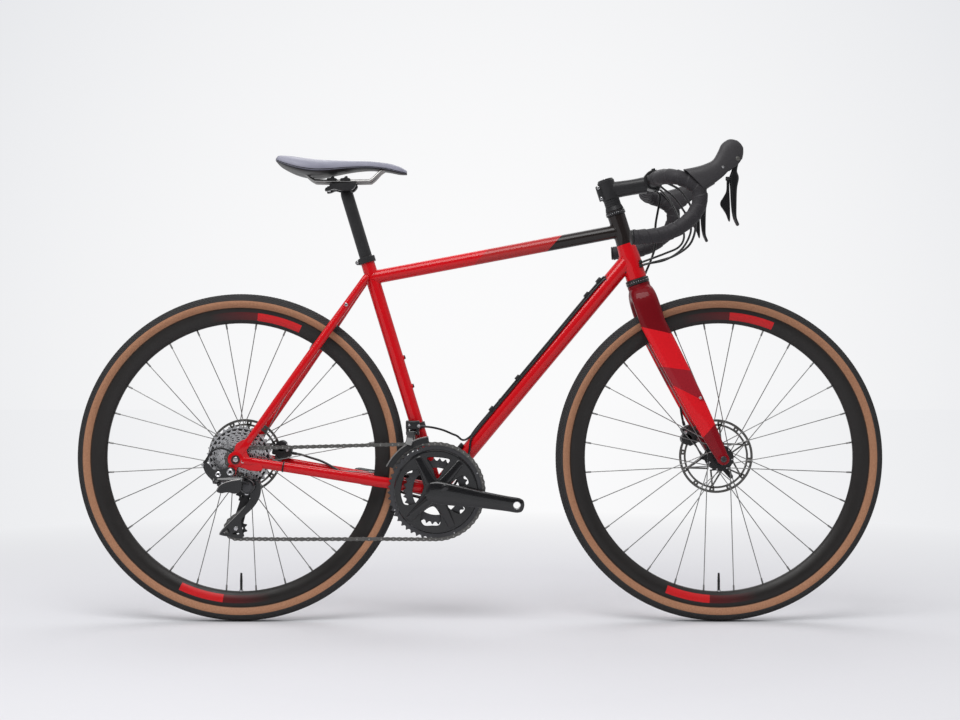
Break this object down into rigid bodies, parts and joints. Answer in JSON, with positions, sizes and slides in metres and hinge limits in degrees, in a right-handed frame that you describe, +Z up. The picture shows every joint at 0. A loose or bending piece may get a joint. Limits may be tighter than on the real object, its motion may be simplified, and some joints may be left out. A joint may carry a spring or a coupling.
{
  "type": "road bike",
  "caption": "Road bicycle with dropped handlebar, disc brakes, derailleur gears and wide tyres; its steering, wheels, cranks, levers, gears, seatpost and saddle move.",
  "frame": {"origin": "on the ground below the centre plane, midway between the wheel axles", "axes": "+X forward, +Y to the bike's left, +Z up; the chain is on the right side, at -Y"},
  "size_m": [1.7236, 0.4866, 1.0008],
  "materials": {
    "red_paint": "gloss",
    "black_metal": "black anodised satin",
    "bright_steel": "bright",
    "black_plastic": "satin",
    "cable_cover": "satin",
    "saddle_cover": "matte",
    "bar_tape": "ribbed satin",
    "hood_rubber": "matte",
    "tyre_rubber": "matte",
    "tube_rubber": "matte"
  },
  "bodies": {
    "frame": {"head_tube": "red_paint", "top_tube": "red_paint", "down_tube": "red_paint", "seat_tube": "red_paint", "chainstay_right": "red_paint", "chainstay_left": "red_paint", "seatstays": "red_paint", "seat_collar": "red_paint", "rear_thru_axle": "black_metal", "bottom_bracket_bearings": "black_metal", "headset_upper": "black_metal", "headset_lower": "black_metal", "front_derailleur_body": "black_metal", "rear_brake_caliper": "black_metal", "chain": "bright_steel", "rear_shift_cable": "cable_cover", "front_shift_cable": "cable_cover", "rear_brake_hose": "cable_cover", "derailleur_mount": "black_metal"},
    "front_derailleur_cage": {"front_derailleur_cage": "bright_steel"},
    "derailleur_link": {"derailleur_link": "black_metal"},
    "derailleur_body": {"derailleur_body": "black_metal"},
    "derailleur_cage": {"derailleur_cage": "black_metal"},
    "guide_pulley": {"guide_pulley": "black_plastic"},
    "tension_pulley": {"tension_pulley": "black_plastic"},
    "seatpost": {"seatpost": "black_metal"},
    "saddle_clamp": {"saddle_clamp": "black_metal"},
    "saddle": {"saddle_shell": "saddle_cover", "saddle_rails": "bright_steel"},
    "steering": {"fork": "red_paint", "headset_spacers": "black_metal", "stem": "black_metal", "stem_faceplate": "black_metal", "handlebar": "black_metal", "bar_tape_right": "bar_tape", "bar_tape_left": "bar_tape", "shifter_right": "hood_rubber", "shifter_left": "hood_rubber", "front_brake_caliper": "black_metal", "front_brake_hose": "cable_cover", "front_thru_axle": "black_metal"},
    "brake_lever_right": {"brake_lever_right": "black_metal"},
    "brake_lever_left": {"brake_lever_left": "black_metal"},
    "shift_paddle_right": {"shift_paddle_right": "black_plastic"},
    "shift_paddle_left": {"shift_paddle_left": "black_plastic"},
    "front_wheel": {"front_tyre": "tyre_rubber", "front_rim": "black_metal", "front_hub": "black_metal", "front_rotor": "bright_steel", "front_inner_tube": "tube_rubber"},
    "rear_wheel": {"rear_tyre": "tyre_rubber", "rear_rim": "black_metal", "rear_hub": "black_metal", "rear_rotor": "bright_steel", "rear_inner_tube": "tube_rubber"},
    "cassette": {"cassette": "bright_steel"},
    "crank": {"crank_right": "black_metal", "crank_left": "black_metal", "chainring_outer": "black_metal", "chainring_inner": "black_metal"}
  },
  "joints": [
    {"name": "steering", "type": "hinge", "parent": "frame", "child": "steering", "pos_m": [0.33944, 0, 0.72065], "axis": [-0.304, 0, 0.9527], "range_deg": [-65, 65], "deforming": ["rear_shift_cable", "front_shift_cable", "rear_brake_hose"]},
    {"name": "front_wheel_spin", "type": "hinge", "parent": "steering", "child": "front_wheel", "pos_m": [0.5118, 0, 0.35], "axis": [0, 1, 0], "continuous": true},
    {"name": "rear_wheel_spin", "type": "hinge", "parent": "frame", "child": "rear_wheel", "pos_m": [-0.5118, 0, 0.35], "axis": [0, 1, 0], "continuous": true},
    {"name": "crank_spin", "type": "hinge", "parent": "frame", "child": "crank", "pos_m": [-0.09303, 0, 0.2805], "axis": [0, 1, 0], "continuous": true},
    {"name": "cassette_spin", "type": "hinge", "parent": "frame", "child": "cassette", "pos_m": [-0.5118, 0, 0.35], "axis": [0, 1, 0], "continuous": true},
    {"name": "brake_lever_right", "type": "hinge", "parent": "steering", "child": "brake_lever_right", "pos_m": [0.51524, -0.211, 0.9614], "axis": [0, 1, 0], "range_deg": [0, 15], "stiffness_Nm_per_rad": 1.5, "springref_deg": -5.73},
    {"name": "brake_lever_left", "type": "hinge", "parent": "steering", "child": "brake_lever_left", "pos_m": [0.51524, 0.211, 0.9614], "axis": [0, 1, 0], "range_deg": [0, 15], "stiffness_Nm_per_rad": 1.5, "springref_deg": -5.73},
    {"name": "shift_paddle_right", "type": "hinge", "parent": "brake_lever_right", "child": "shift_paddle_right", "pos_m": [0.50114, -0.211, 0.9224], "axis": [1, 0, 0], "range_deg": [0, 18], "stiffness_Nm_per_rad": 0.3, "springref_deg": -5.73},
    {"name": "shift_paddle_left", "type": "hinge", "parent": "brake_lever_left", "child": "shift_paddle_left", "pos_m": [0.50114, 0.211, 0.9224], "axis": [-1, 0, 0], "range_deg": [0, 18], "stiffness_Nm_per_rad": 0.3, "springref_deg": -5.73},
    {"name": "front_derailleur_swing", "type": "hinge", "parent": "frame", "child": "front_derailleur_cage", "pos_m": [-0.14303, -0.031, 0.4045], "axis": [1, 0, 0], "range_deg": [0, 6], "deforming": ["chain", "front_shift_cable"]},
    {"name": "derailleur_link_swing", "type": "hinge", "parent": "frame", "child": "derailleur_link", "pos_m": [-0.547, -0.088, 0.308], "axis": [0, 0.5736, 0.8192], "range_deg": [0, 66], "stiffness_Nm_per_rad": 0.5, "springref_deg": -22.92, "deforming": ["chain", "rear_shift_cable"]},
    {"name": "derailleur_body_swing", "type": "hinge", "parent": "derailleur_link", "child": "derailleur_body", "pos_m": [-0.497, -0.088, 0.308], "axis": [0, 0.5736, 0.8192], "range_deg": [-66, 0]},
    {"name": "derailleur_cage_swing", "type": "hinge", "parent": "derailleur_body", "child": "derailleur_cage", "pos_m": [-0.4868, -0.062, 0.294], "axis": [0, 1, 0], "range_deg": [-45, 12], "stiffness_Nm_per_rad": 1.5, "deforming": ["chain"]},
    {"name": "guide_pulley_spin", "type": "hinge", "parent": "derailleur_cage", "child": "guide_pulley", "pos_m": [-0.49, -0.062, 0.279], "axis": [0, 1, 0], "continuous": true},
    {"name": "tension_pulley_spin", "type": "hinge", "parent": "derailleur_cage", "child": "tension_pulley", "pos_m": [-0.5128, -0.062, 0.2047], "axis": [0, 1, 0], "continuous": true},
    {"name": "seatpost_height", "type": "slide", "parent": "frame", "child": "seatpost", "axis": [-0.2907, 0, 0.9568], "range_m": [-0.08, 0.03]},
    {"name": "saddle_tilt", "type": "hinge", "parent": "seatpost", "child": "saddle_clamp", "pos_m": [-0.29085, 0, 0.93162], "axis": [0, 1, 0], "range_deg": [-10, 10]},
    {"name": "saddle_slide", "type": "slide", "parent": "saddle_clamp", "child": "saddle", "axis": [1, 0, 0], "range_m": [-0.015, 0.015]}
  ],
  "couplings": [
    {"joint": "cassette_spin", "follows": "crank_spin", "ratio": 4.5455},
    {"joint": "tension_pulley_spin", "follows": "crank_spin", "ratio": 4.5455},
    {"joint": "guide_pulley_spin", "follows": "crank_spin", "ratio": -4.5455},
    {"joint": "derailleur_body_swing", "follows": "derailleur_link_swing", "ratio": -1}
  ]
}
